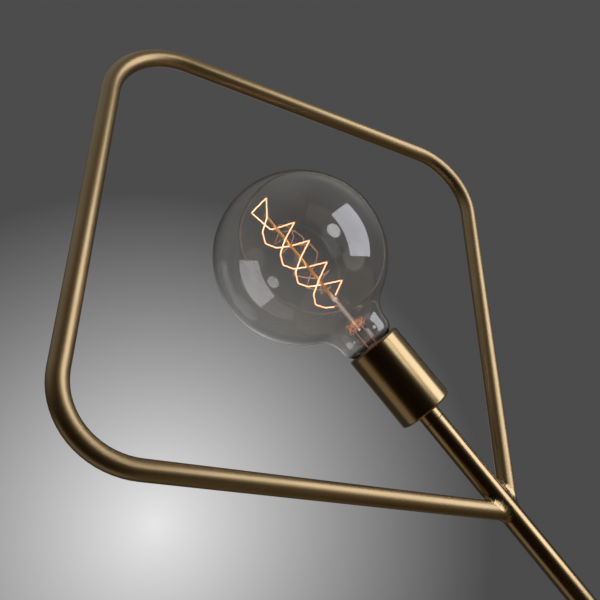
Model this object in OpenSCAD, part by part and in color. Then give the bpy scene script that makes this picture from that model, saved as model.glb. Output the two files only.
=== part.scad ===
// Floor lamp with a diamond of bent tube round a bare globe bulb.
// The stand is a weighted round base, a two-piece pole and a plain cup.
// Millimetres, Z up, X across the diamond, origin on the floor under the pole.

/* [Lamp] */
// Height from the floor to the top of the diamond
lamp_h = 1500; // [1300:10:1800]
// Outer diameter of the pole
pole_d = 16.8; // [15:0.2:18]
// Wall of the pole tube
pole_wall = 1.2; // [1:0.1:1.4]
// Height of the joint between the two pole pieces
joint_z = 560; // [300:10:700]

/* [Diamond] */
// Side of the diamond, corner to corner along the centre line
frame_side = 312; // [285:1:360]
// Outer diameter of the bent tube
frame_d = 12.8; // [10:0.2:13]
// Wall of the bent tube
frame_wall = 1.2; // [1:0.1:1.6]
// Centre line radius of the three bends
bend_r = 51; // [35:1:70]
// Reach of a weld bead over the tube and over the pole, half as much again in the upper crotch
bead_r = 3.2; // [1.8:0.1:3.4]
// Height of the ripples on a weld bead
ripple_h = 0.15; // [0.05:0.05:0.4]
// Ripples round one weld bead
ripples = 17; // [14:1:22]

/* [Base] */
// Diameter of the base
base_d = 260; // [220:5:320]
// Height of the base
base_h = 20; // [19:0.5:26]
// Wall of the spun cover
cover_wall = 1.2; // [0.8:0.1:1.6]
// Radius of the cover's upper edge
cover_edge = 4; // [2:0.5:4.5]
// Height of the cover's lower edge above the floor
skirt_gap = 1; // [0.5:0.25:1.5]
// Thickness of the pad under the base
pad_t = 2; // [1.5:0.25:2.5]
// Inset of the pad's edge from the cover
pad_inset = 6; // [4:1:12]
// Diameter of the wiring pocket in the weight
pocket_d = 78; // [76:1:86]
// Iron left above the wiring pocket
pocket_roof = 3.3; // [3:0.1:4]
// Thickness of the plate under the pocket
plate_t = 1.2; // [0.8:0.1:1.5]
// Width of the seat for the plate round the pocket
plate_lip = 7; // [6.5:0.5:9]

/* [Cup] */
// Distance from the weld up to the collar
stem_h = 84.5; // [80:0.5:110]
// Height of the collar under the cup
collar_h = 9; // [6:0.5:12]
// Outer diameter of the cup
cup_d = 42; // [41:0.5:50]
// Height of the cup
cup_h = 60; // [54:0.5:62]
// Wall of the cup
cup_wall = 1.2; // [0.8:0.1:1.3]
// Radius of the cup's lower edge
cup_edge = 2; // [1.5:0.25:3]
// Radius of the lip that the cup's rim is rolled in to
lip_r = 2.4; // [1.8:0.1:2.6]

/* [Lampholder] */
// Outer diameter of the lampholder
holder_d = 38; // [37:0.25:38.25]
// Height of the lampholder's lower cap
holder_cap_h = 14; // [13:0.5:15]
// Thickness of the insulating core
core_h = 9; // [8:0.5:10]
// Height of the sleeve round the bulb's cap
sleeve_h = 38; // [34:0.5:39]
// Rise of the centre contact above the core
contact_rise = 3.5; // [3:0.1:4]
// Outer diameter of the hollow threaded tubes
nipple_d = 10; // [9.5:0.1:10.5]
// Bore of the hollow threaded tubes
nipple_bore = 8; // [7.6:0.1:8.2]

/* [Bulb] */
// Diameter of the glass globe
bulb_d = 125; // [110:1:130]
// Length of the bulb from contact to crown
bulb_l = 175; // [168:1:178]
// Thickness of the glass
glass_t = 0.9; // [0.7:0.1:1.2]
// Diameter of the glass neck
neck_d = 40.6; // [38:0.2:44]
// Radius of the hollow curve between neck and globe
neck_fillet = 19.2; // [15:0.2:22]
// Height of the round shoulder between the screw cap and the neck
shoulder_h = 10; // [7:0.5:12]
// Crest diameter of the screw cap
cap_d = 26.4; // [26.2:0.1:26.6]
// Height of the screw cap with its contact
cap_h = 27; // [26:0.5:28]
// Rise of the cap's thread in one turn
cap_pitch = 3.629; // [3.5:0.001:3.7]
// Turn of the bulb about its axis
bulb_yaw = -41.6; // [-180:0.1:180]

/* [Filament] */
// Thickness of the filament
fil_d = 0.8; // [0.6:0.1:1.2]
// Radius of the filament's two strands
fil_r = 12.9; // [11:0.1:14]
// Rise of one strand in one turn
fil_pitch = 37; // [34:0.5:40]
// Height of the filament's lower ends above the contact
fil_low = 72.6; // [70:0.1:76]
// Height of the filament's two top corners above the contact
fil_top = 161.5; // [159:0.5:162.5]
// Distance between those two corners
fil_bridge = 15.2; // [12:0.2:17]
// Height of the first strand's lowest hook above the contact
fil_hook = 81.6; // [80:0.1:84]
// Rise from a hook of one strand to the next hook of the other
strand_lag = 17; // [15:0.1:20]
// Sag of the strands between their hooks
fil_sag = 1.8; // [0:0.1:2.5]
// Height of the glass press's top above the contact
press_top = 46; // [44:0.5:48]
// Height of the bead on the support rod above the contact
bead_z = 74.3; // [66:0.1:76]
// Height of the support rod's top above the contact
rod_top = 154; // [150:0.5:155]
// Diameter of the support rod
rod_d = 2.2; // [1.8:0.1:2.6]

/* [Wiring] */
// Diameter of an inner lead
lead_d = 2.2; // [1.8:0.1:2.3]
// Distance of each inner lead from the pole's axis
lead_off = 2.4; // [2.3:0.05:2.5]
// Radius of an inner lead's bends
lead_bend = 3; // [2.5:0.1:3.2]
// Bore of the cable inlet
inlet_bore = 7; // [6:0.5:7.5]

/* [Fits] */
// Radial clearance of pieces that are pushed or screwed together
fit = 0.05; // [0.02:0.01:0.08]
// Running clearance round the bulb's cap
cap_clear = 0.3; // [0.25:0.05:0.4]
// Gap between the centre contact and the bulb
contact_gap = 0.3; // [0.2:0.05:0.3]

/* [Hidden] */
$fn = 96;
BRASS = [0.72, 0.60, 0.38];
IRON = [0.20, 0.20, 0.21];
STEEL = [0.66, 0.66, 0.68];
BLACK = [0.09, 0.09, 0.10];
PALE = [0.86, 0.85, 0.80];
GLASS = [0.80, 0.80, 0.78, 0.30];
COPPER = [0.80, 0.45, 0.28];
GLOW = [1.00, 0.72, 0.42];

// Outlines of the diamond
frame_r = frame_d / 2;
pole_r = pole_d / 2;
diagonal = frame_side * sqrt(2);
apex = diagonal - bend_r * (sqrt(2) - 1) + frame_r;
weld_z = lamp_h - apex;

// Heights inside the base
base_r = base_d / 2;
inner_top = base_h - cover_wall;
weight_r = base_r - cover_wall - 0.3;
pocket_z = inner_top - pocket_roof;
plate_z = pad_t;
pocket_r = pocket_d / 2;
plate_r = pocket_r + plate_lip;
washer_d = 24;
washer_t = 1.5;
nut_flat = 14;
nut_h = 3.5;
nipple_low = pocket_z - washer_t - nut_h - 0.5;
bush_h = 18;
bush_r = pole_r - pole_wall - fit;
nipple_r = nipple_d / 2;
lead_run_z = nipple_low - 0.5 - lead_bend;
inlet_z = base_h / 2;
inlet_face = base_r - 0.2;
inlet_body = 5.6;
inlet_flange = 7;
groove_w = 10;

// Heights of the head
collar_z = weld_z + stem_h;
cup_z = collar_z + collar_h;
cup_r = cup_d / 2;
holder_z = cup_z + cup_wall;
holder_r = holder_d / 2;
core_z = holder_z + holder_cap_h;
core_top = core_z + core_h;
core_r = holder_r - 1.2;
holder_wall = 2.2;
contact_t = 0.5;
tip_z = core_top + contact_rise + contact_gap;
lead_top = core_z - 4.2;

// Outlines of the bulb, with heights counted from its contact
globe_r = bulb_d / 2;
globe_z = bulb_l - globe_r;
neck_r = neck_d / 2;
cap_r = cap_d / 2;
fillet_z = globe_z - sqrt(pow(globe_r + neck_fillet, 2) - pow(neck_r + neck_fillet, 2));
stub_r = cap_r - 1.5;
shoulder = max(2, min(shoulder_h, fillet_z - cap_h - 1));
shell_bore = cap_r + cap_clear;
shell_r = shell_bore + 0.5;
shell_top = core_z + sleeve_h - 1.5;

// The block and its terminals in the base
block_x = 17;
block_w = 13;
block_l = 30;
way = 9.5;
port_d = 3;
screw_d = 3;

// Small helpers

// A tube standing on the origin
module tube(r_out, r_in, h) {
    difference() {
        cylinder(r = r_out, h = h);
        translate([0, 0, -1])
            cylinder(r = r_in, h = h + 2);
    }
}

// A round bar from one point to another
module bar(a, b, r) {
    v = b - a;
    translate(a)
        rotate([0, atan2(norm([v.x, v.y]), v.z), atan2(v.y, v.x)])
            cylinder(r = r, h = norm(v), $fn = 24);
}

// A screw whose head lies under z = 0 and whose shank stands on it
module screw(shank_r, length, head_r, head_h) {
    difference() {
        translate([0, 0, -head_h])
            cylinder(r = head_r, h = head_h, $fn = 32);
        translate([-head_r, -0.4, -head_h - 1])
            cube([2 * head_r, 0.8, 1 + head_h / 2]);
    }
    cylinder(r = shank_r, h = length, $fn = 32);
}

// Unit vector of v
function unit(v) = v / norm(v);

// Points of an arc about centre c, from angle a to angle b in n steps
function arc(c, r, a, b, n) = [for (i = [0:n]) let (w = a + (b - a) * i / n) c + r * [cos(w), sin(w)]];

// Ring of sides points round p, square to direction t, started from a direction side
function ring(p, t, r, sides, side = [0, 0, 1]) =
    let (n = unit(cross(t, side)), m = cross(n, t))
    [for (k = [0:sides - 1]) p + r * (cos(360 * k / sides) * n + sin(360 * k / sides) * m)];

// Direction of a path at its point i
function heading(path, i) =
    let (last = len(path) - 1)
    i == 0 ? unit(path[1] - path[0])
        : i == last ? unit(path[last] - path[last - 1])
        : unit(unit(path[i + 1] - path[i]) + unit(path[i] - path[i - 1]));

// Triangles of a tube with n rings of s points, flat ends
function tube_faces(n, s) = concat(
    [for (k = [1:s - 2]) [0, k + 1, k]],
    [for (i = [0:n - 2], k = [0:s - 1]) [i * s + k, i * s + (k + 1) % s, (i + 1) * s + k]],
    [for (i = [0:n - 2], k = [0:s - 1])
        [i * s + (k + 1) % s, (i + 1) * s + (k + 1) % s, (i + 1) * s + k]],
    [for (k = [1:s - 2]) [(n - 1) * s, (n - 1) * s + k, (n - 1) * s + k + 1]]
);

// A tube of that form along a path
module swept(path, r, sides = 6, side = [0, 0, 1]) {
    points = [for (i = [0:len(path) - 1]) each ring(path[i], heading(path, i), r, sides, side)];
    polyhedron(points = points, faces = tube_faces(len(path), sides));
}

// Least gap of a tube to itself, measured between points that lie apart along it
function self_gap(path, d, apart) = min([
    for (i = [0:len(path) - 1], j = [i + apart:1:len(path) - 1]) norm(path[i] - path[j])
]) - d;

// Base

// Soft pad that the lamp stands on
module base_pad() {
    color(BLACK)
        tube(base_r - pad_inset, plate_r + fit, pad_t);
}

// Cast iron weight with the wiring pocket and the cable groove
module base_weight() {
    color(IRON)
        difference() {
            translate([0, 0, pad_t])
                cylinder(r = weight_r, h = inner_top - pad_t, $fn = 192);
            translate([0, 0, -1])
                cylinder(r = pocket_r, h = pocket_z + 1);
            translate([0, 0, -1])
                cylinder(r = plate_r + fit, h = plate_z + plate_t + 1);
            cylinder(r = nipple_r + fit, h = base_h + 1);
            weight_edge();
            cable_groove();
            for (a = plate_screw_angles)
                rotate([0, 0, a])
                    translate([plate_screw_r, 0, 0])
                        cylinder(r = screw_d / 2 + fit, h = plate_z + plate_t + 6, $fn = 32);
            translate([0, 0, pocket_z - 1])
                clamp_holes(screw_d / 2 + fit, 3.2);
            translate([block_x + block_w / 2, 0, pocket_z - 1])
                cylinder(r = screw_d / 2 + fit, h = 3.2, $fn = 32);
        }
}

// Material taken off the weight under the cover's rounded edge
module weight_edge() {
    step = cover_edge;
    rotate_extrude($fn = 192)
        polygon([
            [weight_r - step, inner_top + 1],
            [weight_r - step, inner_top],
            [weight_r, inner_top - step],
            [weight_r + 1, inner_top - step],
            [weight_r + 1, inner_top + 1]
        ]);
}

// Space for the cable from the inlet to the pocket
module cable_groove() {
    translate([-groove_w / 2, pocket_r - 2, -1])
        cube([groove_w, base_r, inlet_z + groove_w / 2 + 1]);
    translate([0, inlet_face - 5.2, inlet_z])
        rotate([-90, 0, 0])
            cylinder(r = inlet_flange + 0.3, h = 10, $fn = 48);
}

plate_screw_r = pocket_r + plate_lip / 2;
plate_screw_angles = [0, 120, 240];

// Spun cover, open underneath
module base_cover() {
    out = concat(
        [[pole_hole, base_h], [base_r - cover_edge, base_h]],
        arc([base_r - cover_edge, base_h - cover_edge], cover_edge, 90, 0, 8),
        [[base_r, skirt_gap]]
    );
    inner_edge = cover_edge - cover_wall;
    back = concat(
        [[base_r - cover_wall, skirt_gap]],
        arc([base_r - cover_edge, base_h - cover_edge], inner_edge, 0, 90, 8),
        [[pole_hole, inner_top]]
    );
    color(BRASS)
        difference() {
            rotate_extrude($fn = 192)
                polygon(concat(out, back));
            translate([0, base_r - 10, inlet_z])
                rotate([-90, 0, 0])
                    cylinder(r = inlet_body + fit, h = 20, $fn = 48);
        }
}

pole_hole = nipple_r + fit;

// Steel plate that closes the pocket
module bottom_plate() {
    color(STEEL)
        difference() {
            translate([0, 0, plate_z])
                cylinder(r = plate_r - fit, h = plate_t);
            for (a = plate_screw_angles)
                rotate([0, 0, a])
                    translate([plate_screw_r, 0, 0])
                        cylinder(r = screw_d / 2 + fit, h = 10, $fn = 32);
        }
}

// Screws of the bottom plate
module plate_screws() {
    color(STEEL)
        for (a = plate_screw_angles)
            rotate([0, 0, a])
                translate([plate_screw_r, 0, plate_z])
                    screw(screw_d / 2, plate_t + 5, 2.6, 1.2);
}

// Washer under the pocket's roof
module foot_washer() {
    color(STEEL)
        translate([0, 0, pocket_z - washer_t])
            tube(washer_d / 2, nipple_r + fit, washer_t);
}

// Hexagon nut that pulls the pole down on the base
module foot_nut() {
    color(STEEL)
        translate([0, 0, pocket_z - washer_t - nut_h])
            difference() {
                cylinder(d = nut_flat / cos(30), h = nut_h, $fn = 6);
                translate([0, 0, -1])
                    cylinder(r = nipple_r + fit, h = nut_h + 2);
            }
}

// Hollow threaded tube between two heights
module nipple(low, high) {
    color(STEEL)
        translate([0, 0, low])
            tube(nipple_r, nipple_bore / 2, high - low);
}

// Threaded insert in the end of a pole tube
module bush(low) {
    color(STEEL)
        translate([0, 0, low])
            tube(bush_r, nipple_r + fit, bush_h);
}

module foot_nipple() {
    nipple(nipple_low, base_h + bush_h - 2);
}

module foot_bush() {
    bush(base_h);
}

// Moulded bush round the cable's way in, at the back
module inlet_bush() {
    color(BLACK)
        translate([0, inlet_face, inlet_z])
            rotate([90, 0, 0])
                difference() {
                    union() {
                        cylinder(r = inlet_body, h = cover_wall + 1.2, $fn = 48);
                        translate([0, 0, cover_wall + 0.4])
                            cylinder(r = inlet_flange, h = 2, $fn = 48);
                        translate([0, 0, cover_wall + 1])
                            cylinder(r = groove_w / 2 - 0.4, h = 10, $fn = 48);
                    }
                    translate([0, 0, -1])
                        cylinder(d = inlet_bore, h = 20, $fn = 48);
                }
}

clamp_y = pocket_r - 9;
clamp_foot = 9;
clamp_w = 6;
clamp_t = 1.5;
clamp_room = 7.2;

// Holes or shanks of the clamp's two screws
module clamp_holes(r, h) {
    for (s = [-1, 1])
        translate([s * (clamp_room / 2 + clamp_t + 3), clamp_y, 0])
            cylinder(r = r, h = h, $fn = 32);
}

// Strap that grips the cable inside the pocket
module cord_clamp() {
    reach = clamp_room / 2 + clamp_t;
    color(PALE)
        difference() {
            translate([-reach - 6, clamp_y - clamp_w / 2, pocket_z - clamp_t])
                cube([2 * reach + 12, clamp_w, clamp_t]);
            translate([-clamp_room / 2, clamp_y - clamp_w, pocket_z - clamp_t - 1])
                cube([clamp_room, 2 * clamp_w, clamp_t + 2]);
            translate([0, 0, pocket_z - clamp_t - 1])
                clamp_holes(screw_d / 2 + fit, 5);
        }
    color(PALE)
        difference() {
            translate([-reach, clamp_y - clamp_w / 2, pocket_z - clamp_room - clamp_t])
                cube([2 * reach, clamp_w, clamp_room + clamp_t]);
            translate([-clamp_room / 2, clamp_y - clamp_w, pocket_z - clamp_room])
                cube([clamp_room, 2 * clamp_w, clamp_room + 1]);
        }
}

// Screws of the clamp
module clamp_screws() {
    color(STEEL)
        for (s = [-1, 1])
            translate([s * (clamp_room / 2 + clamp_t + 3), clamp_y, pocket_z - clamp_t])
                screw(screw_d / 2, clamp_t + 2, 2.6, 1.2);
}

block_low = lead_run_z - 2.6;

// Three-way terminal block on the pocket's roof
module terminal_block() {
    color(PALE)
        difference() {
            translate([block_x, -block_l / 2, block_low])
                cube([block_w, block_l, pocket_z - block_low]);
            for (k = [-1:1])
                translate([block_x - 1, k * way, lead_run_z])
                    rotate([0, 90, 0])
                        cylinder(d = port_d, h = block_w + 2, $fn = 32);
            for (k = [-1:1])
                translate([block_x + block_w / 2, k * way, block_low - 1])
                    terminal_bore(k);
        }
}

// Bore of one terminal's screw, or of the block's own screw at its middle
module terminal_bore(k) {
    r = 1.3 + fit;
    for (s = [-1, 1])
        translate([s * 3.6, 0, 0])
            cylinder(r = r, h = lead_run_z - block_low + 1, $fn = 32);
    if (k == 0)
        cylinder(r = screw_d / 2 + fit, h = 20, $fn = 32);
}

// Clamping screws of the block's six terminals
module terminal_screws() {
    color(STEEL)
        for (k = [-1:1], s = [-1, 1])
            translate([block_x + block_w / 2 + s * 3.6, k * way, block_low])
                cylinder(r = 1.3, h = 1.1, $fn = 32);
}

// Screw that holds the block to the weight
module block_screw() {
    color(STEEL)
        translate([block_x + block_w / 2, 0, block_low + port_d + 2.5])
            cylinder(r = screw_d / 2, h = pocket_z + 2 - block_low - port_d - 2.5, $fn = 32);
}

// Pole

pole_break = 0.4;

// Tube of the pole between two heights, with a break on the edges that meet at the joint
module pole_tube(low, high, break_low, break_high) {
    color(BRASS)
        rotate_extrude()
            polygon([
                [pole_r - pole_wall, low], [pole_r - break_low, low], [pole_r, low + break_low],
                [pole_r, high - break_high], [pole_r - break_high, high], [pole_r - pole_wall, high]
            ]);
}

// Lower piece of the pole
module pole_lower() {
    pole_tube(base_h, joint_z, 0.1, pole_break);
}

module lower_joint_bush() {
    bush(joint_z - bush_h);
}

module joint_nipple() {
    nipple(joint_z - bush_h + 2, joint_z + bush_h - 2);
}

module upper_joint_bush() {
    bush(joint_z);
}

// Upper piece of the pole, which runs on past the weld as the stem
module pole_upper() {
    pole_tube(joint_z, collar_z, pole_break, 0.1);
}

// Diamond

// Straight stretch of the bent tube, from the origin along +Z
module straight(length) {
    tube(frame_r, frame_r - frame_wall, length);
}

// Quarter bend of the tube in the XZ plane, which starts up and turns to +X
module corner() {
    translate([bend_r, 0, 0])
        rotate([90, 0, 0])
            rotate([0, 0, 90])
                rotate_extrude(angle = 90)
                    translate([bend_r, 0])
                        difference() {
                            circle(r = frame_r);
                            circle(r = frame_r - frame_wall);
                        }
}

// One tube bent at three corners, its two ends coped to the pole
module diamond_frame() {
    low = frame_side - bend_r;
    high = frame_side - 2 * bend_r;
    color(BRASS)
        difference() {
            translate([0, 0, weld_z])
                rotate([0, -45, 0]) {
                    straight(low);
                    translate([0, 0, low])
                        corner();
                    translate([bend_r, 0, frame_side])
                        rotate([0, 90, 0]) {
                            straight(high);
                            translate([0, 0, high])
                                corner();
                            translate([bend_r, 0, frame_side - bend_r])
                                rotate([0, 90, 0]) {
                                    straight(high);
                                    translate([0, 0, high])
                                        corner();
                                    translate([bend_r, 0, frame_side - bend_r])
                                        rotate([0, 90, 0])
                                            straight(low);
                                }
                        }
                }
            translate([0, 0, weld_z - 2 * pole_d])
                cylinder(r = pole_r + bead_gap / 2, h = 4 * pole_d);
        }
}

bead_rings = 4 * ripples;
bead_gap = 0.05;
arm_way = [1, 0, 1] / sqrt(2);

// Point of the line where a tube at 45 degrees meets the pole, a degrees round the tube
function seam(a) =
    let (t = sqrt(2) * sqrt(pow(pole_r, 2) - pow(frame_r * sin(a), 2)) + frame_r * cos(a))
    t * arm_way + frame_r * (cos(a) * [-1, 0, 1] / sqrt(2) + sin(a) * [0, 1, 0]);

// Point q moved square to the pole's axis, or to the tube's, until it lies just outside it
function on_pole(q) = let (out = unit([q.x, q.y, 0])) out * (pole_r + bead_gap) + [0, 0, q.z];
function on_arm(q) = let (foot = (q * arm_way) * arm_way) foot + unit(q - foot) * (frame_r + bead_gap);

// Direction square to the seam's heading t, along the face with normal own, off the other face
function away(t, own, other) = let (v = unit(cross(t, own))) v * other > 0 ? v : -v;

// Section of the rippled bead: a corner, three points on each face, a crown of three
function bead_ring(i) =
    let (
        a = 360 * i / bead_rings,
        p = seam(a),
        t = unit(seam(a + 1) - seam(a - 1)),
        pole_out = unit([p.x, p.y, 0]),
        arm_out = unit(p - (p * arm_way) * arm_way),
        crown = unit(pole_out + arm_out),
        reach = bead_r * (1.25 + 0.25 * cos(a)),
        up = away(t, pole_out, arm_out),
        along = away(t, arm_out, pole_out),
        pole_toe = on_pole(p + reach * up),
        arm_toe = on_arm(p + reach * along),
        rise = 0.22 * reach + ripple_h * (sin(ripples * a) + 0.7 * sin((ripples - 6) * a + 50))
    )
    concat(
        [p + 2 * bead_gap * crown],
        [for (f = [1, 2]) on_pole(p + f * reach / 3 * up)],
        [pole_toe],
        [for (f = [0.25, 0.5, 0.75]) pole_toe + f * (arm_toe - pole_toe) + rise * sin(180 * f) * crown],
        [arm_toe],
        [for (f = [2, 1]) on_arm(p + f * reach / 3 * along)]
    );

// Triangles of a closed ring of tubes
function loop_faces(n, s) = [
    for (i = [0:n - 1], k = [0:s - 1], h = [0, 1])
        let (j = (i + 1) % n, q = (k + 1) % s)
        h == 0 ? [i * s + k, j * s + k, i * s + q] : [i * s + q, j * s + k, j * s + q]
];

module weld_bead() {
    points = [for (i = [0:bead_rings - 1]) each bead_ring(i)];
    polyhedron(points = points, faces = loop_faces(bead_rings, 10));
}

// Weld beads at the two ends of the bent tube
module weld_beads() {
    color(BRASS)
        translate([0, 0, weld_z])
            for (s = [0, 1])
                mirror([s, 0, 0])
                    weld_bead();
}

// Head

module head_bush() {
    bush(collar_z - bush_h);
}

module holder_nipple() {
    nipple(collar_z - bush_h + 2, holder_z + 6);
}

// Plain collar between the stem and the cup
module cup_collar() {
    color(BRASS)
        translate([0, 0, collar_z])
            rotate_extrude()
                polygon(concat(
                    [[nipple_r + fit, 0], [pole_r - 0.5, 0], [pole_r, 0.5]],
                    [[pole_r, collar_h], [nipple_r + fit, collar_h]]
                ));
}

// Plain drawn cup that hides the lampholder
module socket_cup() {
    inner = cup_edge - cup_wall;
    lip = [cup_r - lip_r, cup_h - lip_r * sin(60)];
    color(BRASS)
        translate([0, 0, cup_z])
            rotate_extrude()
                polygon(concat(
                    [[nipple_r + fit, 0]],
                    arc([cup_r - cup_edge, cup_edge], cup_edge, -90, 0, 6),
                    arc(lip, lip_r, 0, 60, 6),
                    arc(lip, lip_r - cup_wall, 60, 0, 4),
                    arc([cup_r - cup_edge, cup_edge], inner, 0, -90, 4),
                    [[nipple_r + fit, cup_wall]]
                ));
}

// Lower cap of the lampholder, screwed on the nipple
module holder_cap() {
    bore = holder_r - holder_wall;
    color(BLACK)
        translate([0, 0, holder_z])
            difference() {
                rotate_extrude()
                    polygon([
                        [nipple_r + fit, 0], [holder_r - 2, 0], [holder_r, 2],
                        [holder_r, holder_cap_h], [bore, holder_cap_h], [bore, 2.5],
                        [nipple_r + 2.5, 2.5], [nipple_r + 2.5, 6.5], [nipple_r + fit, 6.5]
                    ]);
            }
}

terminal_r = 11;
terminal_w = 6;
terminal_h = 7;
terminal_angles = [120, 240, 0];

// Brass terminals under the lampholder's core
module holder_terminals() {
    color(BRASS)
        for (a = terminal_angles)
            rotate([0, 0, a])
                difference() {
                    translate([terminal_r - terminal_w / 2, -terminal_w / 2, core_z - terminal_h])
                        cube([terminal_w, terminal_w, terminal_h]);
                    translate([0, 0, lead_top])
                        rotate([0, 90, 0])
                            cylinder(r = lead_d / 2 + 0.15, h = 20, $fn = 32);
                    translate([terminal_r, 0, core_z - terminal_h - 1])
                        cylinder(r = 1.2 + fit, h = 2.5, $fn = 32);
                }
}

// Clamping screws of those terminals
module holder_screws() {
    color(STEEL)
        for (a = terminal_angles)
            rotate([0, 0, a])
                translate([terminal_r, 0, core_z - terminal_h - 1])
                    cylinder(r = 1.2, h = 2.3, $fn = 32);
}

rivet_r = 1.2;
rivet_off = 10.5;

// Insulating core that carries the contacts
module holder_core() {
    color(PALE)
        translate([0, 0, core_z])
            difference() {
                cylinder(r = core_r, h = core_h);
                translate([0, 0, -1])
                    cylinder(r = 3, h = core_h + 2);
                for (a = terminal_angles)
                    rotate([0, 0, a])
                        translate([rivet_off, 0, -1])
                            cylinder(r = rivet_r + fit, h = core_h + 2, $fn = 32);
            }
}

// Rivets that join the contacts to the terminals
module contact_rivets() {
    color(STEEL)
        for (a = terminal_angles)
            rotate([0, 0, a])
                translate([rivet_off, 0, core_z])
                    cylinder(r = rivet_r, h = core_h, $fn = 32);
}

// Sprung tongue that meets the bulb's centre contact
module centre_contact() {
    half = 3;
    color(BRASS)
        translate([0, 0, core_top])
            rotate([0, 0, terminal_angles[0]])
                translate([0, half, 0])
                    rotate([90, 0, 0])
                        linear_extrude(2 * half)
                            polygon([
                                [12, 0], [12, contact_t], [7.5, contact_t],
                                [2, contact_rise], [-2.5, contact_rise],
                                [-4, contact_rise - 1.2], [-3.6, contact_rise - 1.5],
                                [-2.3, contact_rise - contact_t], [1.8, contact_rise - contact_t],
                                [7.3, 0]
                            ]);
}

// Threaded shell that takes the bulb's cap, with the tab that is riveted to the core
module thread_shell() {
    color(BRASS)
        translate([0, 0, core_top]) {
            tube(shell_r, shell_bore, shell_top - core_top);
            rotate([0, 0, terminal_angles[1]])
                translate([rivet_off - 2, -2.5, 0])
                    cube([shell_bore + 0.2 - rivet_off + 2, 5, contact_t]);
        }
}

// Insulating sleeve round the shell, seen as the dark ring inside the cup
module holder_sleeve() {
    bore = shell_r + fit;
    lip = core_h + 0.2;
    color(BLACK)
        translate([0, 0, core_z])
            rotate_extrude()
                polygon([
                    [core_r + fit, 0], [holder_r, 0], [holder_r, sleeve_h - 1],
                    [holder_r - 1, sleeve_h], [bore + 0.6, sleeve_h],
                    [bore, sleeve_h - 0.8], [bore, lip], [core_r + fit, lip]
                ]);
}

// Wiring

// Points of a quarter bend about centre, from direction u towards direction v
function bend_points(centre, u, v, r) = [for (i = [0:6]) centre + r * (cos(15 * i) * u + sin(15 * i) * v)];

// Inner lead from way k of the block, up the pole, to the terminal at angle a
module inner_lead(k, a, tint) {
    foot = lead_off * [cos(a), sin(a), 0];
    port = [block_x + 5, k * way, 0];
    mouth = [block_x - 1.5, k * way, 0];
    low_way = unit(mouth - foot);
    top_way = [cos(a), sin(a), 0];
    low_rise = [0, 0, lead_run_z + lead_bend];
    top_rise = [0, 0, lead_top - lead_bend];
    path = concat(
        [port + [0, 0, lead_run_z], mouth + [0, 0, lead_run_z]],
        bend_points(foot + lead_bend * low_way + low_rise, [0, 0, -1], -low_way, lead_bend),
        bend_points(foot + lead_bend * top_way + top_rise, -top_way, [0, 0, 1], lead_bend),
        [(terminal_r + 2) * top_way + [0, 0, lead_top]]
    );
    side = unit(cross([0, 0, 1], low_way) + (low_way * top_way > 0 ? 1 : -1) * cross([0, 0, 1], top_way));
    color(tint)
        swept(path, lead_d / 2, 8, side);
}

module live_lead() {
    inner_lead(1, terminal_angles[0], [0.45, 0.25, 0.12]);
}

module neutral_lead() {
    inner_lead(-1, terminal_angles[1], [0.20, 0.35, 0.70]);
}

module earth_lead() {
    inner_lead(0, terminal_angles[2], [0.55, 0.70, 0.20]);
}

// Bulb

// Puts a piece of the bulb in its place
module in_bulb() {
    translate([0, 0, tip_z])
        rotate([0, 0, bulb_yaw])
            children();
}

// Outline of the glass, taken in by t
function glass_line(t) =
    let (
        r = globe_r - t,
        f = neck_fillet + t,
        centre = [neck_r + neck_fillet, fillet_z],
        meet = atan2(centre.y - globe_z, centre.x)
    )
    concat(
        [[stub_r - t, cap_h - 7]],
        [for (u = [0:9:90])
            [stub_r - t + (neck_r - stub_r) * sin(u), fillet_z - (shoulder - t) * cos(u)]],
        [for (i = [1:10]) arc(centre, f, 180, 180 + meet, 10)[i]],
        [for (p = arc([0, globe_z], r, meet, 90, 28)) [max(0, p.x), p.y]]
    );

// Globe of clear glass with its neck
module bulb_glass() {
    outer = glass_line(0);
    inner = glass_line(glass_t);
    count = len(inner);
    color(GLASS)
        in_bulb()
            rotate_extrude($fn = 128)
                polygon(concat(outer, [for (i = [0:count - 1]) inner[count - 1 - i]]));
}

ridge_low = 8.5;
ridges = 4;
ridge_depth = 0.8;

// Screw cap with its rolled ridges
module bulb_cap() {
    root = cap_r - ridge_depth;
    bore = stub_r + fit;
    side = [for (k = [0:ridges - 1], s = [0:8])
        [root + ridge_depth * (1 - cos(45 * s)) / 2, ridge_low + (k + s / 8) * cap_pitch]];
    color(STEEL)
        in_bulb()
            rotate_extrude()
                polygon(concat(
                    [[bore, 7], [root - 0.3, 7]],
                    side,
                    [[root, cap_h - 2.2], [cap_r - 0.1, cap_h - 1.8], [cap_r - 0.1, cap_h]],
                    [[bore, cap_h]]
                ));
}

// Black glass ring between the cap and its contact
module cap_insulator() {
    color(BLACK)
        in_bulb()
            rotate_extrude()
                polygon([
                    [5 + fit, 1.6], [5.6, 1.6], [8.5, 3.2], [stub_r + 0.3, 6.2],
                    [stub_r + 0.3, 7], [stub_r - 0.5, 7], [stub_r - 0.5, 8.2], [5 + fit, 8.2]
                ]);
}

// Centre contact of the bulb, which lifts with it
module cap_contact() {
    color(STEEL)
        in_bulb()
            rotate_extrude()
                polygon([[0, 0], [3.4, 0], [4.6, 0.6], [5, 1.4], [5, 5], [0, 5]]);
}

press_w = 12;
press_t = 4.6;
press_low = 29;
wire_r = 0.35;
wire_off = 3.2;
wire_near = 1.3;

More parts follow.
